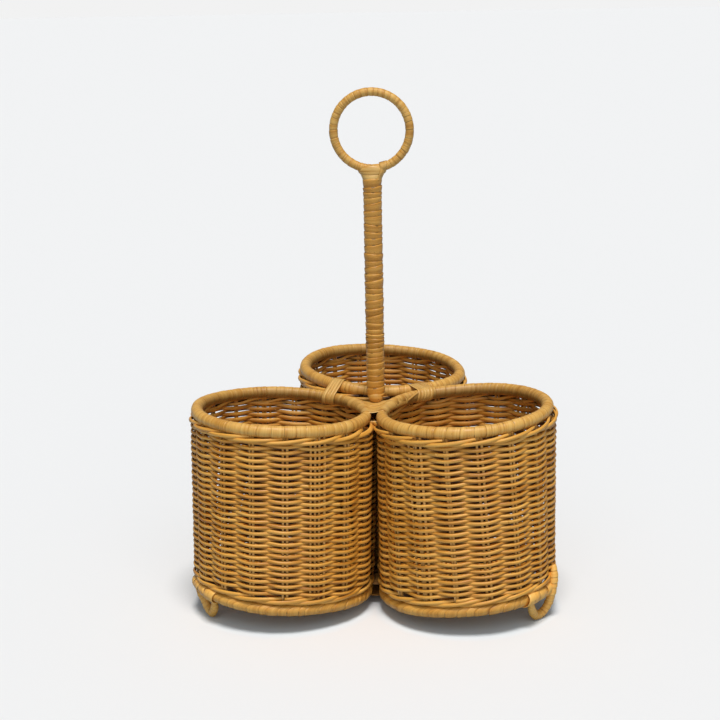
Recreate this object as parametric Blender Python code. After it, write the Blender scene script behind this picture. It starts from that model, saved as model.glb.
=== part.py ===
"""Wine bottle basket: three round woven cups in a triangle round one upright post, which is
wrapped in cane and ends in a ring handle. Each cup stands on one small cane-wrapped loop foot.

Metres, +Z up. The origin lies on the floor under the middle of the basket's box. A cup is
modelled once, in its own frame: +X points away from the post and Z is the cup's axis. Its rim,
weave and base dip a little towards the post. The three cups share these meshes.
"""

from math import atan2, cos, pi, radians, sin, sqrt, tan

import bmesh
import bpy
from mathutils import Vector

# The three cups, by the direction in which each lies from the post
CUPS = {"left": radians(210), "right": radians(330), "back": radians(90)}
# The places where two cups meet, by direction from the post
MEETINGS = {"left": radians(150), "right": radians(30), "front": radians(270)}
NEIGHBOUR_HALF_TURN = radians(30)
DIP = radians(2.7)

# Clearances
SEAT_GAP = 0.0003
WALL_CLEARANCE = 0.0006
WINDING_GAP = 0.0006

# Wall of a cup
STAKES = 17
WALL_OUTER_RADIUS = 0.05625
STAKE_WIDTH = 0.0044
STAKE_THICKNESS = 0.0015
STRAND_THICKNESS = 0.0023
STRAND_GAP = 0.0004
WEAVE_ROUNDS = 14
WALE_STRAND_HEIGHT = 0.0032
HUB_RADIUS = 0.0118

# Rim and base hoop, both rods wrapped in cane
RIM_INSET = 0.00435
RIM_TUBE = 0.0037
RIM_HEIGHT = 0.1260
HOOP_INSET = 0.00355
HOOP_TUBE = 0.0034
HOOP_HEIGHT = 0.0156
HOOP_SEGMENTS = 34
HOOP_SIDES = 6
WRAP_STEP_SHARE = 0.95

# Woven mat in the bottom of a cup
MAT_THICKNESS = 0.0022
MAT_RIDGE = 0.0005
MAT_STEPS = 20
MAT_SEAT_SHARE = 0.34
MAT_RIDGE_SHARES = (0.56, 0.78)

# Loop foot under the outermost point of a cup
FOOT_ROD = 0.0025
FOOT_STRAP = 0.0009
FOOT_STRAP_WIDTH = 0.0026
FOOT_STRAP_TURN = radians(50)
FOOT_HALF_SPREAD = 0.0106
FOOT_INSET = 0.0020
FOOT_FLAT = 0.0005
FOOT_SIDES = 6
FOOT_LEG_STEPS = 3

# Post and its cane winding
POST_CORE_RADIUS = 0.0043
POST_FOOT_HEIGHT = 0.0120
POST_TOP_HEIGHT = 0.2620
POST_SIDES = 12
CANE_THICKNESS = 0.0008
WINDING_LOOPS = 24
WINDING_POINTS = 24
WINDING_DROP = 0.0140

# Ring handle
RING_RADIUS = 0.0234
RING_TUBE = 0.00265
RING_RISE = 0.00655
RING_ARC_END = radians(70)
RING_ARC_POINTS = 26
RING_SIDES = 8
NECK_RISE = 0.0048
NECK_BEND_POINTS = 3

# Binding round the ring's neck
BINDING_THICKNESS = 0.0009
BINDING_HEIGHT = 0.0058
BINDING_POINTS = 16

# Lashings that tie the cups together
LASHING_THICKNESS = 0.0010
RIM_LASHING_WIDTH = 0.0064
HOOP_LASHING_WIDTH = 0.0050
LASHING_GROOVE = 0.0003
LASHING_CLEARANCE = 0.0005

# Cane web between the front rims and the post
SADDLE_THICKNESS = 0.0016
SADDLE_FRONT = 0.0270
SADDLE_DROP = 0.0012
SADDLE_STATIONS = 6
SADDLE_EDGE_TURN = radians(30)

# Binding round the foot of the post
SOCKET_HEIGHT = 0.0070
SOCKET_STEPS = 12

# How meshes are finished
SHARP_ANGLE = radians(50)
MERGE_DISTANCE = 0.00003
MILLIMETRES = 1000

# Sizes that follow from the ones above
RIM_RADIUS = WALL_OUTER_RADIUS - RIM_INSET
HOOP_RADIUS = WALL_OUTER_RADIUS - HOOP_INSET
STRAND_HALF = STRAND_THICKNESS / 2
STAKE_HALF = STAKE_THICKNESS / 2
WEAVE_SWING = STAKE_HALF + SEAT_GAP + STRAND_HALF
STAKE_RADIUS = WALL_OUTER_RADIUS - WEAVE_SWING - STRAND_HALF
STAKE_ANGLE = 2 * pi / STAKES

# A tube of few sides is drawn a little larger, so that it has its round section's area
TUBE_SHARE = sqrt(2 * pi / (HOOP_SIDES * sin(2 * pi / HOOP_SIDES)))
FLAT_SHARE = TUBE_SHARE * cos(pi / HOOP_SIDES)

HOOP_TOP = HOOP_HEIGHT + HOOP_TUBE * FLAT_SHARE
SPOKE_HEIGHT = HOOP_TOP + SEAT_GAP + STAKE_HALF
SPOKE_TOP = SPOKE_HEIGHT + STAKE_HALF
RIM_UNDERSIDE = RIM_HEIGHT - RIM_TUBE * FLAT_SHARE
STAKE_TOP = RIM_UNDERSIDE - SEAT_GAP

WALE_TWIST = (WALE_STRAND_HEIGHT + STRAND_GAP) / 2
WALE_HALF_HEIGHT = WALE_TWIST + WALE_STRAND_HEIGHT / 2
LOWER_WALE_HEIGHT = SPOKE_TOP + SEAT_GAP + WALE_HALF_HEIGHT
LASHING_CHANNEL = LASHING_THICKNESS + LASHING_CLEARANCE + SEAT_GAP
UPPER_WALE_HEIGHT = RIM_UNDERSIDE - LASHING_CHANNEL - WALE_HALF_HEIGHT
WEAVE_FOOT = LOWER_WALE_HEIGHT + WALE_HALF_HEIGHT + SEAT_GAP
WEAVE_HEAD = UPPER_WALE_HEIGHT - WALE_HALF_HEIGHT - SEAT_GAP
WEAVE_PITCH = (WEAVE_HEAD - WEAVE_FOOT + STRAND_GAP) / (WEAVE_ROUNDS + 1)

HOOP_REACH = HOOP_RADIUS + HOOP_TUBE * TUBE_SHARE
POST_DISTANCE = (2 * max(WALL_OUTER_RADIUS, HOOP_REACH) + WALL_CLEARANCE) / sqrt(3)
CUP_SPREAD = POST_DISTANCE * cos(NEIGHBOUR_HALF_TURN)
CUP_ADVANCE = POST_DISTANCE * sin(NEIGHBOUR_HALF_TURN)
FOOT_LOWEST = FOOT_ROD * cos(pi / FOOT_SIDES) - FOOT_FLAT
FOOT_REACH = HOOP_REACH + SEAT_GAP + FOOT_STRAP * 2
POST_Y = (POST_DISTANCE / 2 + HOOP_REACH - POST_DISTANCE - FOOT_REACH) / 2
POST_PLACE = Vector((0, POST_Y, 0))
POST_OUTER_RADIUS = POST_CORE_RADIUS + SEAT_GAP + CANE_THICKNESS
WINDING_FOOT_HEIGHT = RIM_HEIGHT - WINDING_DROP
NECK_HEIGHT = POST_TOP_HEIGHT + NECK_RISE
RING_HEIGHT = POST_TOP_HEIGHT + RING_RISE + RING_TUBE + RING_RADIUS
RING_LEG = RING_TUBE + SEAT_GAP / 2

COLOURS = {
    "weave": (0.60, 0.36, 0.12),
    "stake": (0.50, 0.29, 0.10),
    "cane": (0.66, 0.42, 0.16),
    "post": (0.58, 0.36, 0.13),
    "tie": (0.70, 0.47, 0.20),
}
CANE_ROUGHNESS = 0.45


def clear_scene():
    for old in list(bpy.data.objects):
        bpy.data.objects.remove(old, do_unlink=True)


def rattan(name, colour):
    """Principled material of one piece."""
    material = bpy.data.materials.new(name + "_finish")
    material.use_nodes = True
    shader = material.node_tree.nodes["Principled BSDF"]
    shader.inputs["Base Color"].default_value = (*COLOURS[colour], 1)
    shader.inputs["Roughness"].default_value = CANE_ROUGHNESS
    shader.inputs["Metallic"].default_value = 0
    material.diffuse_color = (*COLOURS[colour], 1)
    return material


def finish_mesh(name, colour, bm):
    """Mesh of one closed body, with its faces pointing out."""
    bmesh.ops.recalc_face_normals(bm, faces=bm.faces)
    mesh = bpy.data.meshes.new(name)
    bm.to_mesh(mesh)
    bm.free()
    mesh.materials.append(rattan(name, colour))
    mesh.shade_smooth()
    mesh.set_sharp_from_angle(angle=SHARP_ANGLE)
    return mesh


def sweep(rings, closed):
    """Closed body through rings of points; a closed sweep joins its last ring to its first."""
    bm = bmesh.new()
    loops = [[bm.verts.new(point) for point in ring] for ring in rings]
    sides = len(loops[0])
    pairs = list(zip(loops, loops[1:]))
    if closed:
        pairs.append((loops[-1], loops[0]))
    for one, two in pairs:
        for i in range(sides):
            j = (i + 1) % sides
            bm.faces.new((one[i], one[j], two[j], two[i]))
    if not closed:
        bm.faces.new(loops[0])
        bm.faces.new(loops[-1])
    return bm


def turned(angle, radius, height):
    return Vector((radius * cos(angle), radius * sin(angle), height))


def place(name, mesh, location, turn):
    piece = bpy.data.objects.new(name, mesh)
    bpy.context.scene.collection.objects.link(piece)
    piece.location = location
    piece.rotation_euler = (0, 0, turn)


def dipped_height(out, height):
    """Height of a point of the cup after its dip, which lowers the side that faces the post."""
    return height + tan(DIP) * out


def place_on_cups(kind, mesh):
    for cup, direction in CUPS.items():
        centre = POST_PLACE + turned(direction, POST_DISTANCE, 0)
        place(cup + "_" + kind, mesh, centre, direction)


def cup_piece(kind, colour, bm, dip=True):
    """Dip one cup piece and place it on all three cups."""
    if dip:
        for vertex in bm.verts:
            vertex.co.z = dipped_height(vertex.co.x, vertex.co.z)
    place_on_cups(kind, finish_mesh(kind, colour, bm))


def diamond(angle, radius, height, half_thickness, half_height):
    """Four-sided strand section in the plane of one direction."""
    return [
        turned(angle, radius + half_thickness, height),
        turned(angle, radius, height + half_height),
        turned(angle, radius - half_thickness, height),
        turned(angle, radius, height - half_height),
    ]


def weaver():
    """One strand wound up the wall, in front of one stake and behind the next.

    The number of stakes is odd, so each round takes the side that the one below it left.
    """
    half_height = (WEAVE_PITCH - STRAND_GAP) / 2
    rings = []
    for step in range(WEAVE_ROUNDS * STAKES + 1):
        side = 1 if step % 2 else -1
        radius = STAKE_RADIUS + side * WEAVE_SWING
        height = WEAVE_FOOT + half_height + WEAVE_PITCH * step / STAKES
        rings.append(diamond(pi + STAKE_ANGLE * step, radius, height, STRAND_HALF, half_height))
    return sweep(rings, closed=False)


def wale(height):
    """Twined row: a strand that goes round twice and twists with itself between the stakes."""
    rings = []
    for step in range(4 * STAKES):
        phase = pi * step / 2
        radius = STAKE_RADIUS + WEAVE_SWING * cos(phase)
        rise = -WALE_TWIST * sin(phase)
        angle = pi + STAKE_ANGLE * step / 2
        rings.append(diamond(angle, radius, height + rise, STRAND_HALF, WALE_STRAND_HEIGHT / 2))
    return sweep(rings, closed=True)


def spoke_ring(angle, radius):
    """Section of a spoke: upper edge, side edges and lower edge."""
    middle = turned(angle, radius, SPOKE_HEIGHT)
    across = turned(angle + pi / 2, STAKE_WIDTH / 2, 0)
    rise = Vector((0, 0, STAKE_HALF))
    return [middle + rise, middle + across, middle - rise, middle - across]


def stake_ring(angle, height, outer_drop):
    """Section of a stake: inner edge, side edges and outer edge."""
    middle = turned(angle, STAKE_RADIUS, height)
    across = turned(angle + pi / 2, STAKE_WIDTH / 2, 0)
    out = turned(angle, STAKE_HALF, -outer_drop)
    return [middle - out, middle + across, middle + out, middle - across]


def cage():
    """Spokes that meet in a hub and turn up at the wall to be the stakes, all one body."""
    bm = bmesh.new()
    top = bm.verts.new((0, 0, SPOKE_TOP))
    bottom = bm.verts.new((0, 0, SPOKE_HEIGHT - STAKE_HALF))
    shared = []
    edges = []
    for arm in range(STAKES):
        angle = pi + STAKE_ANGLE * arm
        shared.append(bm.verts.new(turned(angle + STAKE_ANGLE / 2, HUB_RADIUS, SPOKE_HEIGHT)))
        edges.append([bm.verts.new(turned(angle, HUB_RADIUS, SPOKE_HEIGHT + rise))
                      for rise in (STAKE_HALF, -STAKE_HALF)])
    for arm in range(STAKES):
        angle = pi + STAKE_ANGLE * arm
        before, after = shared[arm - 1], shared[arm]
        upper, lower = edges[arm]
        loop = [upper, after, lower, before]
        rings = [
            stake_ring(angle, SPOKE_HEIGHT, STAKE_HALF),
            stake_ring(angle, STAKE_TOP, 0),
        ]
        for ring in rings:
            following = [bm.verts.new(point) for point in ring]
            for i in range(4):
                j = (i + 1) % 4
                bm.faces.new((loop[i], loop[j], following[j], following[i]))
            loop = following
        bm.faces.new(loop)
        for point, edge in ((top, upper), (bottom, lower)):
            bm.faces.new((point, before, edge))
            bm.faces.new((point, edge, after))
    return bm


def wrapped_tube_ring(centre, outward, upward, radius, sides):
    """Section of a cane-wrapped rod."""
    return [centre + outward * radius * cos(2 * pi * i / sides)
            + upward * radius * sin(2 * pi * i / sides) for i in range(sides)]


def wrapped_hoop(radius, tube, height):
    """Rod bent to a hoop; every second section is drawn in, as the cane turns overlap."""
    rings = []
    for segment in range(HOOP_SEGMENTS):
        angle = 2 * pi * segment / HOOP_SEGMENTS
        share = 1 if segment % 2 else WRAP_STEP_SHARE
        centre = turned(angle, radius, height)
        outward = turned(angle, 1, 0)
        size = tube * TUBE_SHARE * share
        rings.append(wrapped_tube_ring(centre, outward, Vector((0, 0, 1)), size, HOOP_SIDES))
    return sweep(rings, closed=True)


def base_mat():
    """Woven disc with round ridges and a flat middle that the bottle stands on."""
    radius = STAKE_RADIUS - WEAVE_SWING - STRAND_HALF - SEAT_GAP
    foot = SPOKE_TOP + SEAT_GAP
    seat = foot + MAT_THICKNESS
    outline = [(0, foot), (radius, foot), (radius, seat - MAT_RIDGE)]
    for share in reversed(MAT_RIDGE_SHARES):
        outline.append((radius * share, seat))
    outline.append((radius * MAT_SEAT_SHARE, seat))
    outline.append((0, seat))
    bm = bmesh.new()
    points = [bm.verts.new((out, 0, height)) for out, height in outline]
    edges = [bm.edges.new(pair) for pair in zip(points, points[1:])]
    bmesh.ops.spin(bm, geom=points + edges, cent=(0, 0, 0), axis=(0, 0, 1), dvec=(0, 0, 0),
                   angle=2 * pi, steps=MAT_STEPS, use_merge=True)
    bmesh.ops.remove_doubles(bm, verts=bm.verts, dist=MERGE_DISTANCE)
    return bm


def hoop_section_point(side, turn, offset):
    """Point beside the base hoop's section, at a turn round it and a distance sideways."""
    out = sqrt(HOOP_RADIUS ** 2 - side ** 2)
    height = dipped_height(out, HOOP_HEIGHT)
    reach = HOOP_TUBE * TUBE_SHARE + offset
    return Vector((out + reach * cos(turn), side, height + reach * sin(turn)))


def foot_strap(side):
    """Flattened end of the foot's rod, bound over the outer side of the base hoop."""
    stations = []
    for turn in (FOOT_STRAP_TURN, 0, -FOOT_STRAP_TURN):
        centre = hoop_section_point(side * FOOT_HALF_SPREAD, turn, SEAT_GAP + FOOT_STRAP)
        stations.append((centre, FOOT_STRAP, FOOT_STRAP_WIDTH, turn, 0))
    return stations


def foot_leg(side):
    """One leg of the loop: a quarter of an ellipse from under the hoop towards the floor."""
    plane = HOOP_RADIUS - FOOT_INSET
    top = hoop_section_point(side * FOOT_HALF_SPREAD, -pi / 2, SEAT_GAP + FOOT_ROD).z
    depth = top - FOOT_LOWEST
    stations = []
    for step in range(FOOT_LEG_STEPS):
        turn = pi / 2 * step / FOOT_LEG_STEPS
        centre = Vector((plane, side * FOOT_HALF_SPREAD * cos(turn), top - depth * sin(turn)))
        heading = atan2(FOOT_HALF_SPREAD * sin(turn), depth * cos(turn))
        stations.append((centre, FOOT_ROD, FOOT_ROD, 0, -side * heading))
    return stations


def foot_section(centre, thick, wide, turn, lean):
    """Section of the foot's rod: thick across the strap, wide along the hoop."""
    across = Vector((cos(turn), 0, sin(turn)))
    along = Vector((0, cos(lean), sin(lean)))
    return [centre + across * thick * cos(2 * pi * i / FOOT_SIDES)
            + along * wide * sin(2 * pi * i / FOOT_SIDES) for i in range(FOOT_SIDES)]


def foot():
    """Rod bent to a loop under the hoop, which stands on a small flat at its lowest point."""
    near = foot_strap(-1) + foot_leg(-1)
    far = [(centre, thick, wide, turn, lean + pi)
           for centre, thick, wide, turn, lean in foot_strap(1) + foot_leg(1)]
    lowest = Vector((HOOP_RADIUS - FOOT_INSET, 0, FOOT_LOWEST))
    stations = near + [(lowest, FOOT_ROD, FOOT_ROD, 0, pi / 2)] + list(reversed(far))
    bm = sweep([foot_section(*station) for station in stations], closed=False)
    cut = bmesh.ops.bisect_plane(bm, geom=bm.verts[:] + bm.edges[:] + bm.faces[:],
                                 plane_co=(0, 0, 0), plane_no=(0, 0, -1), clear_outer=True)
    edges = [item for item in cut["geom_cut"] if isinstance(item, bmesh.types.BMEdge)]
    bmesh.ops.edgeloop_fill(bm, edges=edges)
    return bm


def post_core():
    bm = bmesh.new()
    height = POST_TOP_HEIGHT - POST_FOOT_HEIGHT
    bmesh.ops.create_cone(bm, cap_ends=True, segments=POST_SIDES, radius1=POST_CORE_RADIUS,
                          radius2=POST_CORE_RADIUS, depth=height)
    bmesh.ops.translate(bm, verts=bm.verts, vec=(0, 0, POST_FOOT_HEIGHT + height / 2))
    return bm


def winding_rings():
    """Sections of the flat cane wound round the post: outer edges, then inner edges."""
    pitch = (POST_TOP_HEIGHT - WINDING_FOOT_HEIGHT + WINDING_GAP) / (WINDING_LOOPS + 1)
    half_width = (pitch - WINDING_GAP) / 2
    inner = POST_CORE_RADIUS + SEAT_GAP
    outer = inner + CANE_THICKNESS
    rings = []
    for step in range(WINDING_LOOPS * WINDING_POINTS + 1):
        angle = 2 * pi * step / WINDING_POINTS
        middle = WINDING_FOOT_HEIGHT + half_width + pitch * step / WINDING_POINTS
        lower, upper = middle - half_width, middle + half_width
        rings.append([turned(angle, outer, lower), turned(angle, outer, upper),
                      turned(angle, inner, upper), turned(angle, inner, lower)])
    return rings


def least_winding_gap(rings):
    """Least distance between a winding's upper edge and the lower edge of its next loop."""
    return min((rings[i][1] - rings[j][0]).length
               for i in range(len(rings))
               for j in range(i + WINDING_POINTS // 2, min(len(rings), i + 2 * WINDING_POINTS)))


def neck_curve(share):
    """Half of the bend from the ring's arc down into its straight leg, as a Bezier curve."""
    start = Vector((RING_RADIUS * sin(pi / 2 - RING_ARC_END), 0,
                    RING_HEIGHT - RING_RADIUS * sin(RING_ARC_END)))
    end = Vector((RING_LEG, 0, NECK_HEIGHT))
    reach = (start - end).length / 2
    heading = Vector((-sin(RING_ARC_END), 0, -cos(RING_ARC_END)))
    handle_one = start + heading * reach
    handle_two = end + Vector((0, 0, reach))
    rest = 1 - share
    return (start * rest ** 3 + handle_one * 3 * rest ** 2 * share
            + handle_two * 3 * rest * share ** 2 + end * share ** 3)


def ring_path():
    """Centreline of the ring handle, up one leg, round and down the other."""
    right = [neck_curve(step / NECK_BEND_POINTS) for step in range(1, NECK_BEND_POINTS + 1)]
    right.append(Vector((RING_LEG, 0, POST_TOP_HEIGHT + SEAT_GAP)))
    arc = []
    for step in range(RING_ARC_POINTS + 1):
        angle = RING_ARC_END - (pi + 2 * RING_ARC_END) * step / RING_ARC_POINTS
        arc.append(Vector((RING_RADIUS * cos(angle), 0, RING_HEIGHT - RING_RADIUS * sin(angle))))
    left = [Vector((-point.x, 0, point.z)) for point in right]
    return list(reversed(right)) + arc + left


def ring_handle():
    """Cane-wrapped rod bent to the ring that the hand holds, its two ends side by side."""
    path = ring_path()
    rings = []
    for i, centre in enumerate(path):
        heading = (path[min(i + 1, len(path) - 1)] - path[max(i - 1, 0)]).normalized()
        across = heading.cross(Vector((0, 1, 0)))
        rings.append(wrapped_tube_ring(centre, across, Vector((0, 1, 0)), RING_TUBE, RING_SIDES))
    return sweep(rings, closed=False)


def ribbed_band(half_width, thickness, groove):
    """Section of a band of two cane turns: (across, out) pairs, with a groove between them."""
    return [(-half_width, 0), (-half_width, thickness), (0, thickness - groove),
            (half_width, thickness), (half_width, 0)]


def ring_binding():
    """Cane band round the two legs of the ring, just above the post's winding."""
    half_depth = RING_TUBE + SEAT_GAP
    middle = POST_TOP_HEIGHT + SEAT_GAP + BINDING_HEIGHT / 2
    section = ribbed_band(BINDING_HEIGHT / 2, BINDING_THICKNESS, LASHING_GROOVE)
    rings = []
    for step in range(BINDING_POINTS):
        angle = 2 * pi * (step + 0.5) / BINDING_POINTS
        side = RING_LEG if cos(angle) > 0 else -RING_LEG
        rings.append([Vector((side, 0, middle + rise)) + turned(angle, half_depth + out, 0)
                      for rise, out in section])
    return sweep(rings, closed=True)


def lashing(spacing, tube, width):
    """Cane turns round two neighbouring rods, in a frame with X from rod to rod.

    The loop follows the outer corners of both rods at one even distance, and runs straight
    from one rod to the other above and below them.
    """
    section = ribbed_band(width / 2, LASHING_THICKNESS, LASHING_GROOVE)
    corner = 2 * pi / HOOP_SIDES
    rings = []
    for side, start in ((1, 0), (-1, pi)):
        centre = Vector((side * spacing, 0, 0))
        for turn in (corner, 0, -corner):
            direction = Vector((cos(start + turn), 0, sin(start + turn)))
            ring = []
            for across, out in section:
                reach = tube * TUBE_SHARE + (LASHING_CLEARANCE + out) / cos(corner / 2)
                ring.append(centre + Vector((0, across, 0)) + direction * reach)
            rings.append(ring)
    return sweep(rings, closed=True)


def lash(kind, radius, tube, height, width, meetings):
    """Tie the cups' rims or base hoops, of one radius, where two cups meet."""
    tie = finish_mesh(kind, "tie", lashing(CUP_SPREAD - radius, tube, width))
    for meeting in meetings:
        direction = MEETINGS[meeting]
        middle = POST_PLACE + turned(direction, POST_DISTANCE / 2, 0)
        middle.z = dipped_height(-CUP_SPREAD * cos(NEIGHBOUR_HALF_TURN), height)
        place(meeting + "_" + kind, tie, middle, direction + pi / 2)


def rim_inner_offset(back):
    """How far the front rims' centrelines lie from the middle, at a distance before the post."""
    return CUP_SPREAD - sqrt(RIM_RADIUS ** 2 - (CUP_ADVANCE - back) ** 2)


def rim_height_at(back):
    """Height of a front rim's centreline there, after the dip."""
    away = Vector((rim_inner_offset(back) - CUP_SPREAD, CUP_ADVANCE - back))
    outward = Vector((cos(NEIGHBOUR_HALF_TURN), -sin(NEIGHBOUR_HALF_TURN)))
    return dipped_height(away.dot(outward), RIM_HEIGHT)


def saddle_section(back):
    """Section of the cane web across the two front rims, at a distance before the post."""
    offset = rim_inner_offset(back)
    top = rim_height_at(back) + RIM_TUBE * FLAT_SHARE + SEAT_GAP
    middle_top = top - SADDLE_DROP / 2
    half = offset + RIM_TUBE * sin(SADDLE_EDGE_TURN)
    return [
        Vector((-half, -back, top)),
        Vector((half, -back, top)),
        Vector((half, -back, top + SADDLE_THICKNESS)),
        Vector((0, -back, middle_top + SADDLE_THICKNESS)),
        Vector((-half, -back, top + SADDLE_THICKNESS)),
    ]


def hub_saddle():
    """Cane web that lies over both front rims and reaches back to the post."""
    back_end = POST_OUTER_RADIUS + SEAT_GAP
    span = SADDLE_FRONT - back_end
    rings = [saddle_section(back_end + span * step / (SADDLE_STATIONS - 1))
             for step in range(SADDLE_STATIONS)]
    return sweep(rings, closed=False)


def post_socket():
    """Cane turns round the foot of the post that wedge it between the three base hoops."""
    inner = (POST_CORE_RADIUS + SEAT_GAP) / cos(pi / SOCKET_STEPS)
    outer = POST_DISTANCE - HOOP_REACH - SEAT_GAP
    section = ribbed_band(SOCKET_HEIGHT / 2, outer - inner, LASHING_GROOVE)
    middle = dipped_height(-POST_DISTANCE + outer, HOOP_HEIGHT)
    rings = []
    for step in range(SOCKET_STEPS):
        angle = 2 * pi * (step + 0.5) / SOCKET_STEPS
        rings.append([turned(angle, inner + out, middle + rise) for rise, out in section])
    return sweep(rings, closed=True)


def make_cups():
    cup_piece("cage", "stake", cage())
    cup_piece("weaver", "weave", weaver())
    cup_piece("lower_wale", "weave", wale(LOWER_WALE_HEIGHT))
    cup_piece("upper_wale", "weave", wale(UPPER_WALE_HEIGHT))
    cup_piece("base_mat", "weave", base_mat())
    cup_piece("rim", "cane", wrapped_hoop(RIM_RADIUS, RIM_TUBE, RIM_HEIGHT))
    cup_piece("base_hoop", "cane", wrapped_hoop(HOOP_RADIUS, HOOP_TUBE, HOOP_HEIGHT))
    cup_piece("foot", "cane", foot(), dip=False)


def make_post():
    place("post_core", finish_mesh("post_core", "stake", post_core()), POST_PLACE, 0)
    rings = winding_rings()
    print("post winding: least gap to itself %.2f mm" % (least_winding_gap(rings) * MILLIMETRES))
    place("post_wrap", finish_mesh("post_wrap", "post", sweep(rings, closed=False)), POST_PLACE, 0)
    place("post_socket", finish_mesh("post_socket", "tie", post_socket()), POST_PLACE, 0)
    place("ring_handle", finish_mesh("ring_handle", "cane", ring_handle()), POST_PLACE, 0)
    place("ring_binding", finish_mesh("ring_binding", "tie", ring_binding()), POST_PLACE, 0)


def make_ties():
    place("hub_saddle", finish_mesh("hub_saddle", "tie", hub_saddle()), POST_PLACE, 0)
    lash("rim_lashing", RIM_RADIUS, RIM_TUBE, RIM_HEIGHT, RIM_LASHING_WIDTH, ("left", "right"))
    lash("hoop_lashing", HOOP_RADIUS, HOOP_TUBE, HOOP_HEIGHT, HOOP_LASHING_WIDTH, MEETINGS)


clear_scene()
make_cups()
make_post()
make_ties()
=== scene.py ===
"""Looks of the wine bottle basket: woven reed, wrapped cane, a studio floor, light and camera.

Metres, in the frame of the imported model. Each cup is worked out in its own frame, where +X
points away from the post and Z is the cup's axis, and is then dipped, turned and placed.
"""

from dataclasses import dataclass
from math import cos, pi, radians, sin, tan

import bpy
import numpy as np
from mathutils import Matrix, Vector


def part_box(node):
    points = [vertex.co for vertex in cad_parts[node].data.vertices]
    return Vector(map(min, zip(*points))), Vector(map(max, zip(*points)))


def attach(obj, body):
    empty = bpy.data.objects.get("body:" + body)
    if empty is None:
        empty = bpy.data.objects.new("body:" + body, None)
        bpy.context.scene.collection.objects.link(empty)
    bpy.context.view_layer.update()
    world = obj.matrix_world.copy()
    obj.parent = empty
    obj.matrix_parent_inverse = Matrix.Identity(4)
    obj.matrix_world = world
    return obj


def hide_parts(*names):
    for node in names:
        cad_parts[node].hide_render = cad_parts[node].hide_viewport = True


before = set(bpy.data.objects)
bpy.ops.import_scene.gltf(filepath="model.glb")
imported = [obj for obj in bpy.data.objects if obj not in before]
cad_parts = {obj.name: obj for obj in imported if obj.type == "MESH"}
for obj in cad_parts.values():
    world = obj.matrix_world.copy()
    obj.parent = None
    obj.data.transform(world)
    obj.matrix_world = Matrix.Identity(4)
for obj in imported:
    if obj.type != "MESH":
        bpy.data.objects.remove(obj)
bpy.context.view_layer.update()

MM = 0.001

# Camera: where the photograph was taken from, with the post's foot as the centre
CAMERA_DISTANCE = 0.98425
CAMERA_HEIGHT = 0.38904
CAMERA_AZIMUTH = radians(3.967)
CAMERA_PITCH = radians(13.638)
CAMERA_YAW = radians(0.564)
CAMERA_ROLL = radians(1.103)
CAMERA_LENS_MM = 80.04
SENSOR_MM = 36.0
CAMERA_FAR_END = 50

# Light and floor. The camera sees the backdrop at BACKGROUND and the floor in FLOOR_COLOUR, with a
# painted cool tint, of the colour and reach below, near a cup's axis, to take the reed's warm light
# out of the shade there; the basket itself is lit by FLOOR_BOUNCE.
BACKGROUND = 0.887
FLOOR_COLOUR = 0.835
PAINTED_COOL_TINT = (0.785, 0.885, 0.955)
PAINTED_TINT_REACH = (0.047, 0.061)
FLOOR_BOUNCE = (0.39, 0.47, 0.56)
FLOOR_HALF = 15.0
SKY_STRENGTH = 0.18
SKY_COLOUR = (0.78, 1.0, 1.20)
LAMP_COLOUR = (1.006, 0.975, 0.946)
# Strength of each lamp, its tilt from straight down, and its spread
LAMPS = {"key_light": (2.55, (radians(15), radians(3)), radians(20)),
         "fill_light": (0.80, (radians(58), radians(14)), radians(60))}

# Stakes of a cup: STAKES columns, of two rods each or of four in a wide column
STAKES = 17
STAKE_ANGLE = 2 * pi / STAKES
STAKE_RADIUS = 0.05370
STAKE_ROD = 0.00084
STAKE_BEND = 0.004
PAIR_OFFSETS = (-0.0011, 0.0011)
WIDE_OFFSETS = (-0.0043, -0.0008, 0.0008, 0.0043)
STRAIGHT_HEIGHT = 0.072

# Weave of a wall. One length of reed passes twice REED_STAKES columns, and laps the next one.
WEAVE_FOOT = 0.0228
WEAVE_HEAD = 0.1188
WEAVE_ROUNDS = 51
WEAVE_SWING = 0.00165
WEAVE_SAG = 0.00055
REED_STAKES = (24, 38)
REED_LAP = 0.3
STRAND_HALF_THICKNESS = 0.00090
STRAND_HALF_HEIGHT = 0.00110
INNER_HALF_HEIGHT = 0.00148
CROSSING_HALF_HEIGHT = 0.00106
SAMPLES_PER_STAKE = 8
STRAND_SIDES = 8

# Twined rows under the rim and over the base hoop
TWINE_STROKE = 3
TWINE_HALF_HEIGHT = 0.00122
TWINE_HALF_THICKNESS = 0.00098
TWINE_RISE = 0.00175
TWINE_SWING = 0.00190
UPPER_TWINE_HEIGHT = 0.1209
LOWER_TWINE_HEIGHT = 0.0217

# Hoops
RIM_TUBE = 0.0036
RIM_WOBBLE = 0.00022
HUB_SQUEEZE = 0.0009
HUB_SQUEEZE_TURN = 0.26
HOOP_RADIUS = 0.0527
HOOP_TUBE = 0.0033
HOOP_WOBBLE = 0.00028

# Base of a cup
SPOKE_HEIGHT = 0.0202
BASE_HEIGHT = 0.0214
BASE_PITCH = 0.00195
BASE_HUB = 0.0105
BASE_REACH = 0.0518
BASE_SWING = 0.00135
BASE_HALF_HEIGHT = 0.00078
HUB_CROWDING = 0.020

# Foot: turns of cane that bind it to the hoop, as place along the hoop, half width, skew and bulge
FOOT_BANDS = ((0.0126, 0.0050, 0.0012, 0.0010), (-0.0054, 0.0046, 0.0012, 0.0004),
              (0.0036, 0.0046, -0.0010, 0.0003), (-0.0132, 0.0036, 0.0008, 0.0006))

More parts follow.
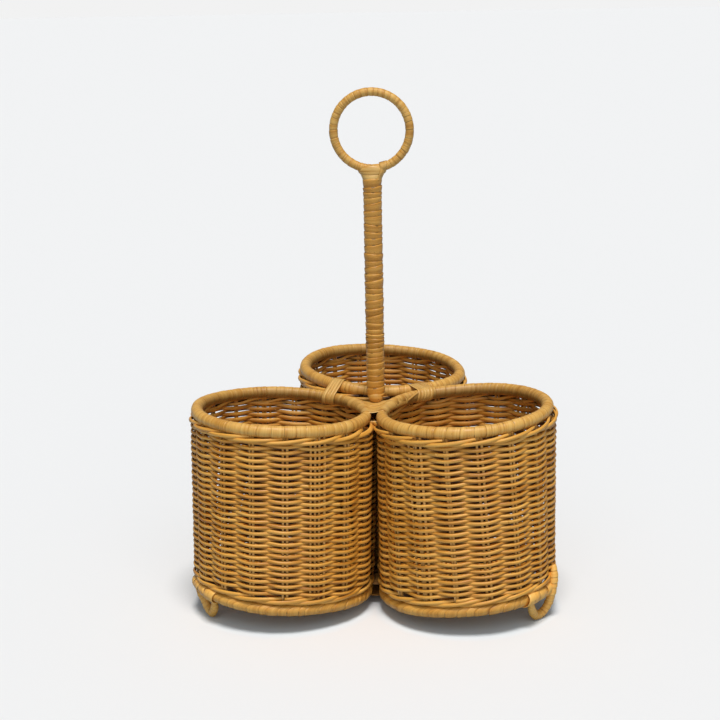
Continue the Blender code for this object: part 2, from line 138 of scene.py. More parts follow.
# Post, thinner between POST_DEEP and POST_REST, where it passes through the hub's cane
POST_RADIUS = 0.00545
POST_FOOT = 0.0105
POST_DEEP = 0.112
POST_REST = 0.1270
POST_TOP = 0.2635
POST_OVERLAP = 0.003
POST_THINNING = 0.0016
SOCKET_RADIUS = 0.0070
SOCKET_DROP = 0.0040

# Ring
RING_RADIUS = 0.0234
RING_TUBE = 0.00255
RING_HEIGHT = 0.2946

# Hub: turns of cane over both front rims, as where they start and end before the post, and lift
WEB_TURNS = ((0.0028, 0.0130, 0.00030), (0.0118, 0.0234, 0.00042), (0.0222, 0.0336, 0.00054))
WEB_THICKNESS = 0.0006
HUB_TIE_HEIGHT = 0.1189
COLLAR_RADIUS = 0.0046
COLLAR_HALF_HEIGHT = 0.0042
COLLAR_PLACE = -0.0018

# Ties: TIE_SHARE of the pitch is the half width of a turn
TIE_THICKNESS = 0.00030
TIE_CLEARANCE = 0.0004
TIE_SHARE = 0.56

POST_SEED, RING_SEED, NECK_SEED = 51, 52, 53

# Cane: sizes of its marks along and across the grain, and shades of its darkest tone
TONE_SIZE = (0.030, 0.012)
SPECK_SIZE = (0.0016, 0.0006)
NICK_SIZE = (0.005, 1.0)
STAIN_SCALE = 38.0
STRIP_WIDTH = 0.006
FIBRE_RELIEF = 0.00025
SPECK_SHADE = 0.45
EDGE_SHADE = 0.22

# Painted shade: how deep a point lies in the basket darkens its cane, from one end of the range
# below to the other
PAINTED_SHADE_RANGE = (0.36, 0.64)
PAINTED_SHADE_SHARE = 0.97
PAINTED_SHADOW_COLOUR = (0.032, 0.006, 0.0006, 1)
# Painted shade on the outer side towards the post, on a rim's inner side, and low down between the
# cups
POST_SIDE = (0.60, 0.26)
POST_SIDE_PAINTED_SHADE = 0.40
RIM_INSIDE_PAINTED_SHADE = 0.15
GAP_SHADE_TOP = 0.122
GAP_SHADE_FADE = 0.005
GAP_PAINTED_SHADE = 0.18

# How each rod is wound: see wound_rod and wrapped_rod
RIM_WINDING = {"strip": (0.0056, 0.50), "step": 0.00018, "slant": 0.22, "stray": 0.0003}
HOOP_WINDING = {"strip": (0.0064, 0.55), "step": 0.00034, "slant": 0.15, "stray": 0.0004}
FOOT_WINDING = {"strip": (0.0034, 0.50), "step": 0.00024, "slant": 0.35, "stray": 0.0003,
                "sides": 16}
POST_WINDING = {"strip": (0.0040, 0.42), "step": 0.00046, "slant": 0.40, "stray": 0.0004,
                "sides": 28}
RING_WINDING = {"strip": (0.0036, 0.50), "step": 0.00016, "slant": 0.20, "stray": 0.0003}
NECK_WINDING = {"step": 0.00036, "slant": 0.12, "sides": 36}


@dataclass
class Cup:
    """How one hand-made cup differs from the even one.

    lift and tilt (to the right, to the back) raise its rim, lean moves its top to the right, and
    crowd pushes its wall to the right beside the other front cup, at CROWD_HEIGHTS. Its stake
    columns start at stake_start and turn with height by twist; wide_columns have four rods.
    hub_angle is where the hub's cane holds its rim, and near is the side of its foot whose end
    is tucked in low, under the hoop.
    """
    name: str
    direction: float
    rim_radius: float
    hub_angle: float
    lift: float
    tilt: tuple
    lean: float
    stake_start: float
    wide_columns: tuple
    twist: float
    crowd: tuple
    near: int
    seed: int


# Every cup dips towards the post, and its base by BASE_DIP more, from BASE_PIVOT inwards
DIP = radians(2.7)
BASE_DIP = 0.050
BASE_PIVOT = 0.045
LEAN_HEIGHT = 0.110
CROWD_HEIGHTS = (0.014, 0.030, 0.118, 0.1235)
CROWD_REACH = 0.032
CROWD_FALL = 1.4

# Middle of each foot's rod in millimetres, from its low end to its high one: out from the cup's
# axis, along the hoop and up
FOOT_LINES = {
    "left": [(51.6, 12.9, 17.5), (50.1, 10.4, 13.0), (49.5, 8.8, 8.8), (49.2, 5.8, 4.6),
             (49.1, 2.3, 2.9), (49.6, -1.2, 3.9), (50.3, -3.8, 6.6), (51.6, -5.4, 10.6),
             (53.6, -6.2, 15.2), (54.6, -7.6, 19.4), (54.2, -9.2, 22.0)],
    "right": [(52.6, -12.2, 17.5), (51.5, -10.3, 13.2), (50.3, -7.4, 8.6), (50.0, -3.8, 4.6),
              (50.1, -0.3, 2.9), (51.0, 3.4, 3.2), (52.2, 6.6, 5.6), (53.6, 8.4, 9.6),
              (55.0, 9.0, 14.7), (55.7, 10.3, 21.0), (55.5, 11.6, 27.5), (54.4, 13.0, 33.0),
              (52.9, 13.8, 35.5)],
    "back": [(51.8, -11.0, 17.5), (51.0, -10.2, 12.6), (50.2, -8.0, 7.6), (49.8, -4.4, 4.0),
             (49.8, 0.0, 2.9), (50.4, 4.4, 4.2), (51.4, 7.8, 7.8), (53.0, 9.0, 12.6),
             (54.8, 9.2, 18.0), (55.8, 9.8, 23.5), (55.2, 11.0, 27.0)],
}
CUPS = (
    Cup("left", direction=radians(210), rim_radius=0.0523, hub_angle=radians(159), lift=-0.0007,
        tilt=(-0.014, -0.014), lean=0.025, stake_start=radians(68.5), wide_columns=(1, 9),
        twist=0.10, crowd=(0.0009, 0.0028, 0.0032, 0), near=1, seed=11),
    Cup("right", direction=radians(330), rim_radius=0.0508, hub_angle=radians(201), lift=0.0004,
        tilt=(0.020, 0.020), lean=-0.010, stake_start=radians(291.2), wide_columns=(16, 7),
        twist=-1.04, crowd=(0.0009, 0.0, 0.0016, 0), near=-1, seed=23),
    Cup("back", direction=radians(90), rim_radius=0.0519, hub_angle=radians(180), lift=0.0018,
        tilt=(-0.058, -0.019), lean=0.0, stake_start=radians(20), wide_columns=(4, 12),
        twist=0.30, crowd=(0, 0, 0, 0), near=-1, seed=37),
)


def node_middle(node):
    """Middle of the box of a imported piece."""
    low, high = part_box(node)
    return [(low[k] + high[k]) / 2 for k in range(3)]


CENTRES = {cup.name: Vector((*node_middle(cup.name + "_base_mat")[:2], 0)) for cup in CUPS}
RIM_HEIGHT = node_middle("back_rim")[2]
HOOP_HEIGHT = node_middle("back_base_hoop")[2]
POST_DISTANCE = 2 * CENTRES["right"].x / 3 ** 0.5
POST_PLACE = Vector((0, CENTRES["back"].y - POST_DISTANCE, 0))
X_AXIS, Y_AXIS, Z_AXIS = np.eye(3)


def add_object(name, data):
    made = bpy.data.objects.new(name, data)
    bpy.context.scene.collection.objects.link(made)
    return made


# Meshes

def grid_quads(rows, columns):
    """The rows and the columns of the corners of a grid's quads."""
    i, j = (places.ravel() for places in np.indices((rows, columns)))
    return np.stack([i, i + 1, i + 1, i], 1), np.stack([j, j, j + 1, j + 1], 1)


def strand(points, u, v, closed=False):
    """Vertices, faces and UVs of one strand from its rows of section points.

    u holds the length along the strand for each row (and one more if closed), and v the
    place round it for each column and one more.
    """
    rows, sides = points.shape[:2]
    along, around = grid_quads(rows if closed else rows - 1, sides)
    uv = np.stack([u[along], v[around]], -1).reshape(-1, 2)
    faces = (along % rows * sides + around % sides).tolist()
    if not closed:
        faces += [list(range(sides))[::-1], list(range((rows - 1) * sides, rows * sides))]
        uv = np.concatenate([uv, *(np.tile([u[end], v[0]], (sides, 1)) for end in (0, -1))])
    return points.reshape(-1, 3), faces, uv


def signed_volume(vertices, faces):
    quads = np.array([face for face in faces if len(face) == 4])
    a, b, c, d = (vertices[quads[:, k]] for k in range(4))
    return float((np.cross(b - a, c - a) * a).sum() + (np.cross(c - a, d - a) * a).sum())


def facing_out(vertices, normals):
    """Distance of each point from its cup's axis, and how far it faces away from it: -1 to 1."""
    radius = np.hypot(vertices[:, 0], vertices[:, 1])
    return radius, (vertices[:, :2] * normals[:, :2]).sum(1) / radius


def painted_shade_in_wall(vertices, normals):
    """How deep each point lies in a wall's weave, seen from the side that it faces: 0 to 1.

    It drives painted shade in the weave's gaps. The outside counts deeper on the side of the post,
    between the cups, for painted shade in the crevice there.
    """
    radius, facing = facing_out(vertices, normals)
    reach = WEAVE_SWING + STRAND_HALF_THICKNESS
    from_outside = np.clip((STAKE_RADIUS + reach - radius) / (2 * reach), 0, 1)
    out = np.clip(facing * 2, 0, 1)
    inward = np.clip(-facing * 2, 0, 1)
    towards_post = np.clip((-vertices[:, 0] / radius - POST_SIDE[0]) / POST_SIDE[1], 0, 1)
    return (out * (from_outside + POST_SIDE_PAINTED_SHADE * towards_post) + inward * (1 - from_outside)
            + (1 - out - inward) * np.minimum(from_outside, 1 - from_outside))


def painted_shade_on_rim(vertices, normals):
    """Painted shade: a rim's inner side is duller and darker than its top and its outer side."""
    facing = facing_out(vertices, normals)[1]
    return PAINTED_SHADE_RANGE[0] + RIM_INSIDE_PAINTED_SHADE * np.clip(-facing, 0, 1) * (1 - 0.5 * normals[:, 2])


def painted_shade_in_gap(vertices, _):
    """Painted shade: the post and the ties darken down between the cups."""
    below = np.clip((GAP_SHADE_TOP - vertices[:, 2]) / GAP_SHADE_FADE, 0, 1)
    return PAINTED_SHADE_RANGE[0] + GAP_PAINTED_SHADE * below


def piece(name, strands, material, slot, *nodes, cup=None, painted_shade_of=None):
    """One object from many strands, which rides on the basket and stands for CAD nodes.

    With a cup, the strands come in its own frame, and are placed here. The depth function
    gives how deep each point lies in the basket, which darkens it as painted shade.
    """
    vertices, faces, uvs, start = [], [], [], 0
    for part_vertices, part_faces, part_uv in strands:
        centred = part_vertices - part_vertices.mean(0)
        if signed_volume(centred, part_faces) < 0:
            cuts = np.split(part_uv, np.cumsum([len(face) for face in part_faces])[:-1])
            part_uv = np.concatenate([cut[::-1] for cut in cuts])
            part_faces = [face[::-1] for face in part_faces]
        vertices.append(part_vertices)
        faces.extend([[corner + start for corner in face] for face in part_faces])
        uvs.append(part_uv)
        start += len(part_vertices)
    vertices = np.concatenate(vertices)
    mesh = bpy.data.meshes.new(name)
    mesh.from_pydata(vertices.tolist(), [], faces)
    painted_shade_of = painted_shade_of or (painted_shade_in_wall if cup else None)
    if painted_shade_of:
        normals = np.empty(len(vertices) * 3, dtype=np.float32)
        mesh.vertices.foreach_get("normal", normals)
        depths = painted_shade_of(vertices, normals.reshape(-1, 3))
        # Depth for the painted shade that the cane's material mixes in
        layer = mesh.attributes.new("depth", "FLOAT", "POINT")
        layer.data.foreach_set("value", depths.astype(np.float32))
    if cup:
        mesh.vertices.foreach_set("co", in_cup(cup, vertices).astype(np.float32).ravel())
        mesh.update()
    layer = mesh.uv_layers.new(name="Strand")
    layer.uv.foreach_set("vector", np.concatenate(uvs).astype(np.float32).ravel())
    mesh.materials.append(material)
    mesh.shade_smooth()
    made = add_object(name, mesh)
    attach(made, "root")
    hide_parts(*nodes)


def round_sections(centres, first, second, half_first, half_second, sides):
    """Elliptic sections round each centre, with their half sizes along first and second."""
    turn = 2 * pi * np.arange(sides) / sides
    half_first = np.broadcast_to(half_first, len(centres))[:, None, None]
    half_second = np.broadcast_to(half_second, len(centres))[:, None, None]
    return (centres[:, None] + first[:, None] * half_first * np.cos(turn)[None, :, None]
            + second[:, None] * half_second * np.sin(turn)[None, :, None])


def polar(angle, radius, height):
    angle, radius, height = np.broadcast_arrays(angle, radius, height)
    return np.stack([radius * np.cos(angle), radius * np.sin(angle), height], -1)


def sections_round_axis(angle, radius, height, half_out, half_up, sides):
    """Sections of a strand that goes round an upright axis."""
    return round_sections(polar(angle, radius, height), polar(angle, 1.0, 0.0), Z_AXIS[None],
                          half_out, half_up, sides)


def round_strand(points, u, half_size, closed=False):
    """A strand with the length round it as its second UV."""
    sides = points.shape[1]
    return strand(points, u, np.arange(sides + 1) / sides * 2 * pi * half_size, closed)


def turned_uv(vertices, faces, uv):
    """The same strand, with its grain across its rows."""
    return vertices, faces, uv[:, ::-1]


def flattened(wave, share):
    """A wave from -1 to 1, with flatter ends and steeper crossings."""
    return wave * (1 + share - share * wave ** 2)


def frames_along(centres, side):
    """Two directions square to a path: one near the given side, and one square to both."""
    heading = np.gradient(centres, axis=0)
    heading /= np.linalg.norm(heading, axis=1, keepdims=True)
    across = side - (side * heading).sum(1, keepdims=True) * heading
    across /= np.linalg.norm(across, axis=1, keepdims=True)
    return across, np.cross(heading, across)


def lengths_along(centres):
    steps = np.linalg.norm(np.diff(centres, axis=0), axis=1)
    return np.append(0, np.cumsum(steps))


def in_cup(cup, vertices, dip=True):
    """Dip, turn, lean and place points that were worked out in a cup's own frame."""
    turn = np.array(Matrix.Rotation(cup.direction, 3, "Z"))
    placed = vertices @ turn.T
    placed[:, 0] += cup.lean * (vertices[:, 2] - LEAN_HEIGHT)
    if dip:
        uneven = cup.lift + placed[:, :2] @ np.array(cup.tilt)
        level = vertices[:, 2] / RIM_HEIGHT
        placed[:, 2] += tan(DIP) * vertices[:, 0] + uneven * level
        placed[:, 2] += BASE_DIP * (vertices[:, 0] - BASE_PIVOT) * (1 - level)
        aside = np.abs(placed[:, 0] + CENTRES[cup.name].x) / CROWD_REACH
        placed[:, 0] += (np.clip(1 - aside, 0, 1) ** CROWD_FALL
                         * np.interp(vertices[:, 2], CROWD_HEIGHTS, cup.crowd))
    return placed + np.array(CENTRES[cup.name])


def placed_in(cup, strands, dip=True):
    return [(in_cup(cup, vertices, dip), faces, uv) for vertices, faces, uv in strands]


def at_post(strands):
    return [(vertices + np.array(POST_PLACE), faces, uv) for vertices, faces, uv in strands]


# Materials

def set_inputs(tree, node, inputs):
    """Set or link inputs of a shader node."""
    for key, value in inputs.items():
        if isinstance(value, bpy.types.NodeSocket):
            tree.links.new(value, node.inputs[key])
        else:
            node.inputs[key].default_value = value


def add_node(tree, kind, inputs=None, **settings):
    made = tree.nodes.new(kind)
    for key, value in settings.items():
        setattr(made, key, value)
    set_inputs(tree, made, inputs or {})
    return made


def new_material(name):
    material = bpy.data.materials.new(name)
    material.use_nodes = True
    return material, material.node_tree, material.node_tree.nodes["Principled BSDF"]


def maths(tree, operation, one, two=0.0, clamp=False):
    return add_node(tree, "ShaderNodeMath", {0: one, 1: two}, operation=operation,
                    use_clamp=clamp).outputs[0]


def noise(tree, vector, scale, detail=2.0, roughness=0.5):
    return add_node(tree, "ShaderNodeTexNoise", {"Vector": vector, "Scale": scale, "Detail": detail,
                                                 "Roughness": roughness}).outputs["Fac"]


def spread(tree, value, low, high, to_low=0.0, to_high=1.0):
    return add_node(tree, "ShaderNodeMapRange", {"Value": value, "From Min": low, "From Max": high,
                                                 "To Min": to_low, "To Max": to_high}).outputs[0]


def mix_colour(tree, share, one, two):
    return add_node(tree, "ShaderNodeMix", {0: share, 6: one, 7: two}, data_type="RGBA").outputs[2]


def strip_edges(tree, colour, across, seam, broken, nick, dark):
    """Dark edges of a flat strip, up to nick wide where broken is high."""
    edge = maths(tree, "MINIMUM", across, maths(tree, "SUBTRACT", 1.0, across))
    width = spread(tree, broken, 0.54, 0.72, 0.010, nick)
    inside = maths(tree, "DIVIDE", edge, width, clamp=True)
    line = maths(tree, "SUBTRACT", 1.0, inside, clamp=True)
    line = maths(tree, "MULTIPLY", line, seam)
    return mix_colour(tree, line, colour, shaded(dark, EDGE_SHADE))


def shaded(colour, share):
    return tuple(share * part for part in colour) + (1,)


# Painted shade: the cane is mixed towards a near-black brown by the depth attribute
def painted_shade_by_depth(tree, colour):
    deep = add_node(tree, "ShaderNodeAttribute", attribute_name="depth").outputs["Fac"]
    deep = maths(tree, "MULTIPLY", spread(tree, deep, *PAINTED_SHADE_RANGE), PAINTED_SHADE_SHARE)
    return mix_colour(tree, deep, colour, PAINTED_SHADOW_COLOUR)


def cane(name, light, middle, dark, fibre_width=0.00035, fibre_length=0.012, seam=0.0,
         roughness=(0.34, 0.52), bump=0.35, grain=1.0, nick=0.06, tone_share=0.40):
    """Varnished rattan. Fibres run along the strand's own length, which is UV x in metres.

    With a seam, UV y runs from 0 to 1 across a flat strip, and its edges darken; nick is how
    wide the dark slits there get. grain is how strongly the fibres show, and tone_share how
    much one length of cane differs from the next.
    """
    material, tree, shader = new_material(name)
    place = add_node(tree, "ShaderNodeUVMap", uv_map="Strand").outputs[0]
    parts = add_node(tree, "ShaderNodeSeparateXYZ", {0: place})
    along, across = parts.outputs[0], parts.outputs[1]
    across_metres = maths(tree, "MULTIPLY", across, STRIP_WIDTH) if seam else across

    def stretched(length, width):
        x = maths(tree, "DIVIDE", along, length)
        y = maths(tree, "DIVIDE", across_metres, width)
        return add_node(tree, "ShaderNodeCombineXYZ", {0: x, 1: y}).outputs[0]

    fibre = noise(tree, stretched(fibre_length, fibre_width), 1.0, 3.0, 0.6)
    streak = noise(tree, stretched(fibre_length * 3, fibre_width * 4), 1.0, 2.0)
    tone = noise(tree, stretched(*TONE_SIZE), 1.0, 3.0)
    position = add_node(tree, "ShaderNodeNewGeometry").outputs["Position"]
    stain = noise(tree, position, STAIN_SCALE, 2.0)
    speck = noise(tree, stretched(*SPECK_SIZE), 1.0, 1.0)

    mixed = spread(tree, tone, 0.34, 0.66, 0.0, tone_share)
    for texture, low, high, share in ((streak, 0.34, 0.66, 0.28 * grain),
                                      (fibre, 0.34, 0.66, 0.24 * grain),
                                      (stain, 0.35, 0.65, 0.12)):
        mixed = maths(tree, "ADD", mixed, spread(tree, texture, low, high, 0.0, share))
    ramp = add_node(tree, "ShaderNodeValToRGB", {0: mixed})
    first, last = ramp.color_ramp.elements
    first.position, last.position = 0.12, 0.92
    first.color, last.color = (*dark, 1), (*light, 1)
    ramp.color_ramp.elements.new(0.46).color = (*middle, 1)
    specks = spread(tree, speck, 0.70, 0.78, 0.0, 0.55)
    colour = mix_colour(tree, specks, ramp.outputs[0], shaded(dark, SPECK_SHADE))
    if seam:
        broken = noise(tree, stretched(*NICK_SIZE), 1.0, 1.0)
        colour = strip_edges(tree, colour, across, seam, broken, nick, dark)
    height = maths(tree, "ADD", fibre, maths(tree, "MULTIPLY", streak, 0.6))
    bumped = add_node(tree, "ShaderNodeBump", {"Height": height, "Strength": bump,
                                               "Distance": FIBRE_RELIEF})
    # The base colour carries painted shade by depth
    set_inputs(tree, shader, {"Base Color": painted_shade_by_depth(tree, colour),
                              "Roughness": spread(tree, streak, 0.3, 0.7, *roughness),
                              "Normal": bumped.outputs[0]})
    return material


REED = cane("woven_reed", (0.93, 0.515, 0.108), (0.71, 0.309, 0.036), (0.38, 0.118, 0.007))
# Partly painted light: the stakes' reed, made lighter than the woven reed so that the stakes show
# lit in the weave's gaps, where they lie in shade behind the strands
LIGHTENED_STAKE_REED = cane("lightened_stake_reed", (0.95, 0.58, 0.20), (0.78, 0.40, 0.09), (0.52, 0.22, 0.035))
TWINE_REED = cane("twined_reed", (0.92, 0.51, 0.112), (0.76, 0.358, 0.050), (0.47, 0.170, 0.015))
BROAD_FIBRES = {"fibre_width": 0.00062, "fibre_length": 0.020, "roughness": (0.36, 0.54),
                "bump": 0.6}
PEEL = cane("cane_peel", (0.80, 0.460, 0.112), (0.65, 0.315, 0.052), (0.42, 0.162, 0.016),
            seam=0.9, grain=1.8, nick=0.10, tone_share=0.20, **BROAD_FIBRES)
HOOP_PEEL = cane("hoop_peel", (0.80, 0.415, 0.080), (0.65, 0.296, 0.041), (0.44, 0.163, 0.015),
                 seam=0.9, grain=1.7, nick=0.13, tone_share=0.25, **BROAD_FIBRES)
# Painted light: cane made lighter than the hoops' for the feet, which stand in shade under the
# hoops
LIGHTENED_FOOT_PEEL = cane("lightened_foot_peel", (0.98, 0.560, 0.136), (0.87, 0.435, 0.080), (0.62, 0.255, 0.030),
                 seam=0.7, grain=1.5, nick=0.10, tone_share=0.25, **BROAD_FIBRES)
POST_PEEL = cane("post_peel", (0.81, 0.415, 0.076), (0.61, 0.265, 0.031), (0.35, 0.124, 0.009),
                 seam=1.0, grain=1.4, nick=0.24, fibre_width=0.00040, fibre_length=0.016,
                 roughness=(0.36, 0.54), bump=0.5)
TIE_PEEL = cane("tie_peel", (0.78, 0.485, 0.145), (0.64, 0.340, 0.072), (0.42, 0.185, 0.024),
                seam=0.7, grain=1.2, fibre_width=0.00034, fibre_length=0.014)


# Wrapped rods

# Profile of one flat strip: places across it, and how far each stands out
STRIP_PLACES = np.array([0.0, 0.035, 0.12, 0.32, 0.56, 0.78, 0.94])
STRIP_LIFTS = np.array([-0.55, 0.80, 1.00, 0.95, 0.75, 0.45, 0.12])


def wrapped_rod(path, widths, half_sizes, rng, closed, start_angle, step, slant, sides=18,
                stray=0.0):
    """Flat cane wound round a rod, each turn lapping the next one.

    path gives centres and two cross directions for places along the rod, and half_sizes the
    two half sizes of its section there. Rows follow the winding; columns cross one strip.
    step is how far a turn stands out over the one it laps, slant the share of its width that
    it moves on evenly, and stray how far one turn may lie askew.
    """
    turns = len(widths)
    seams = np.append(0, np.cumsum(widths))
    q = np.arange(turns * sides + (not closed))
    turn, share = np.divmod(q, sides)
    share = share / sides
    hidden = np.clip((share - 0.80) / 0.20, 0, 1)
    moved = slant * share + (1 - slant) * hidden
    grown = np.append(widths, widths[:2])
    askew = rng.normal(0, stray, turns)
    askew = np.append(askew, askew[:2])
    begin = seams[np.minimum(turn, turns)] + moved * grown[turn]
    following = begin + grown[turn] * (1 - moved) + moved * grown[turn + 1]
    begin = begin + askew[turn] * np.sin(2 * pi * share)
    following = following + askew[turn + 1] * np.sin(2 * pi * share)
    places = begin[:, None] + (following - begin)[:, None] * STRIP_PLACES
    if not closed:
        places = np.clip(places, 0, seams[-1])
    lifts = rng.uniform(0.55, 1.35, turns + 1)
    slits = rng.choice([0.35, 1.0, 2.2], turns + 1, p=[0.5, 0.3, 0.2])
    lift = step * lifts[turn][:, None] * STRIP_LIFTS
    lift[:, 0] *= slits[turn]
    angle = start_angle + 2 * pi * share
    centre, first, second = path(places)
    half_first, half_second = half_sizes(places)
    points = (centre + first * ((half_first + lift) * np.cos(angle)[:, None])[..., None]
              + second * ((half_second + lift) * np.sin(angle)[:, None])[..., None])
    columns = len(STRIP_PLACES)
    along, across = grid_quads(len(q) - (0 if closed else sides + 1), columns)
    wrapped = across == columns
    row = (along + np.where(wrapped, sides, 0)) % len(q)
    corners = row * columns + np.where(wrapped, 0, across)
    size = float(np.mean(half_first)) * 2 * pi / sides
    strip_v = np.append(STRIP_PLACES, 1.0)
    uv = np.stack([along * size + rng.uniform(0, 9), strip_v[across]], -1).reshape(-1, 2)
    used, corners = np.unique(corners.ravel(), return_inverse=True)
    return points.reshape(-1, 3)[used], corners.reshape(-1, 4).tolist(), uv


def wound_rod(path, length, half_sizes, rng, strip, **winding):
    """A wrapped rod, its turns of uneven width: strip is their mean and how much they vary."""
    mean, vary = strip
    widths = rng.uniform(1 - vary, 1 + vary, max(3, round(length / mean)))
    return wrapped_rod(path, widths * length / widths.sum(), half_sizes, rng, **winding)


def constant_sizes(half):
    return lambda places: [np.full(places.shape, half)] * 2


def hoop_path(radius, height, wobble=0.0, phase=0.0):
    """Path round a level circle with a slight hand-made wobble, and its length."""
    def path(places):
        angle = places / radius
        reach = (radius + wobble * np.sin(3 * angle + phase)
                 + wobble * 0.6 * np.sin(7 * angle - phase))
        first = polar(angle, 1.0, 0.0)
        second = np.broadcast_to(Z_AXIS, first.shape)
        return polar(angle, reach, height + wobble * np.sin(4 * angle + 2 * phase)), first, second
    return path, 2 * pi * radius


def line_path(points):
    """Path through given points, its first cross direction near X_AXIS, and its length."""
    points = smooth_curve(np.array(points, float), 24)
    lengths = lengths_along(points)
    across, other = frames_along(points, X_AXIS)

    def path(places):
        return [np.stack([np.interp(places, lengths, part) for part in table.T], -1)
                for table in (points, across, other)]
    return path, lengths[-1]


def smooth_curve(points, steps):
    """Catmull-Rom curve through the points."""
    padded = np.concatenate([[2 * points[0] - points[1]], points, [2 * points[-1] - points[-2]]])
    curve = []
    for k in range(len(points) - 1):
        a, b, c, d = padded[k:k + 4]
        t = np.arange(steps)[:, None] / steps
        curve.append(0.5 * (2 * b + (c - a) * t + (2 * a - 5 * b + 4 * c - d) * t ** 2
                            + (3 * b - a - 3 * c + d) * t ** 3))
    return np.concatenate(curve + [points[-1:]])


# Cups

def column_angle(cup, height, column):
    """Angle of a stake column, which twists a little as it rises."""
    return cup.stake_start + STAKE_ANGLE * column + cup.twist * (height - STRAIGHT_HEIGHT)


def wall_weave(cup):
    """The wall: reeds, end to end, that pass before one pair of stakes and behind the next."""
    rng = np.random.default_rng(cup.seed)
    steps = WEAVE_ROUNDS * STAKES
    lift = rng.normal(0, 0.00007, steps + 2)
    push = rng.normal(0, 0.00010, steps + 2)
    pitch = (WEAVE_HEAD - WEAVE_FOOT) / WEAVE_ROUNDS
    strands = []
    start = 0
    while start < steps:
        end = min(start + 2 * rng.integers(*REED_STAKES), steps)
        count = (end - start) * SAMPLES_PER_STAKE + 1
        s = np.linspace(start - REED_LAP * (start > 0), end + REED_LAP * (end < steps), count)
        wave = flattened(np.cos(pi * s), 0.16)
        height = (WEAVE_FOOT + pitch * (s / STAKES + 0.5) + WEAVE_SAG * (0.5 - wave ** 2)
                  + np.interp(s, np.arange(steps + 2), lift))
        angle = column_angle(cup, height, s)
        radius = (STAKE_RADIUS + WEAVE_SWING * wave + np.interp(s, np.arange(steps + 2), push)
                  + 0.00022 * np.sin(2 * angle + cup.seed) * np.sin(height * 40))
        size = rng.uniform(0.93, 1.07)
        widest = np.where(wave > 0, STRAND_HALF_HEIGHT, INNER_HALF_HEIGHT)
        tall = CROSSING_HALF_HEIGHT + (widest - CROSSING_HALF_HEIGHT) * np.abs(wave) ** 1.4
        rows = sections_round_axis(angle, radius, height, STRAND_HALF_THICKNESS * size,
                                   tall * size, STRAND_SIDES)
        u = STAKE_RADIUS * STAKE_ANGLE * s + rng.uniform(0, 9)
        strands.append(round_strand(rows, u, STRAND_HALF_HEIGHT))
        start = end
    piece(cup.name + "_wall_weave", strands, REED, "weave", cup.name + "_weaver", cup=cup)


def stakes(cup):
    """Pairs of thin stakes, which run out from the hub as spokes and turn up at the wall."""
    rng = np.random.default_rng(cup.seed + 1)
    spoke = np.linspace(BASE_HUB - 0.002, STAKE_RADIUS - STAKE_BEND, 9)
    bend = np.linspace(0, pi / 2, 6)[1:]
    rise = np.linspace(SPOKE_HEIGHT + STAKE_BEND, RIM_HEIGHT - RIM_TUBE + 0.001, 16)[1:]
    radius = np.concatenate([spoke, STAKE_RADIUS - STAKE_BEND + STAKE_BEND * np.sin(bend),
                             np.full(len(rise), STAKE_RADIUS)])
    height = np.concatenate([np.full(len(spoke), SPOKE_HEIGHT),
                             SPOKE_HEIGHT + STAKE_BEND - STAKE_BEND * np.cos(bend), rise])
    strands = []
    for column in range(STAKES):
        for offset in WIDE_OFFSETS if column in cup.wide_columns else PAIR_OFFSETS:
            angle = column_angle(cup, height, column) + rng.normal(0, 0.006)
            side = offset * np.clip(radius / HUB_CROWDING, 0.55, 1.0) + rng.normal(0, 0.0001)
            across = polar(angle + pi / 2, 1.0, 0.0)
            centres = polar(angle, radius, height) + across * side[:, None]
            first, second = frames_along(centres, across)
            rod = STAKE_ROD * rng.uniform(0.9, 1.08)
            rows = round_sections(centres, first, second, rod, rod, STRAND_SIDES)
            strands.append(round_strand(rows, lengths_along(centres) + rng.uniform(0, 9), rod))
    piece(cup.name + "_stakes", strands, LIGHTENED_STAKE_REED, "stakes", cup.name + "_cage", cup=cup)


def twining(cup, kind, height, seed, stand_out=0.0):
    """Strands that pass before two pairs of stakes and behind one, rising as they go."""
    rng = np.random.default_rng(cup.seed + seed)
    total = TWINE_STROKE * STAKES
    s = np.arange(total * SAMPLES_PER_STAKE) / SAMPLES_PER_STAKE
    phase = (s % TWINE_STROKE) / TWINE_STROKE
    outside = np.sqrt(0.5 - 0.5 * np.cos(2 * pi * np.clip((phase + 0.06) % 1 / 0.80, 0, 1)))
    climb = np.where(phase < 0.74, phase / 0.74, (1 - phase) / 0.26)
    climb = climb * climb * (3 - 2 * climb) * 0.5 + climb * 0.5
    lift = np.interp(s, np.arange(total + 1), np.append(rng.normal(0, 0.00018, total), 0))
    level = height + TWINE_RISE * (2 * climb - 1) + lift
    angle = column_angle(cup, level, s)
    radius = STAKE_RADIUS + stand_out * outside + TWINE_SWING * (2 * outside - 1)
    tall = TWINE_HALF_HEIGHT * (0.86 + 0.2 * outside)
    rows = sections_round_axis(angle, radius, level, TWINE_HALF_THICKNESS, tall, STRAND_SIDES)
    u = np.append(s, total) * STAKE_RADIUS * STAKE_ANGLE + rng.uniform(0, 9)
    made = round_strand(rows, u, TWINE_HALF_HEIGHT, closed=True)
    piece("%s_%s_twining" % (cup.name, kind), [made], TWINE_REED, "weave",
          "%s_%s_wale" % (cup.name, kind), cup=cup)


def rim_tube(cup, angle):
    """Half size of a rim's rod, which is thinner where the cane at the hub holds it."""
    gap = (angle - cup.hub_angle + pi) % (2 * pi) - pi
    return RIM_TUBE - HUB_SQUEEZE * np.exp(-(gap / HUB_SQUEEZE_TURN) ** 4)


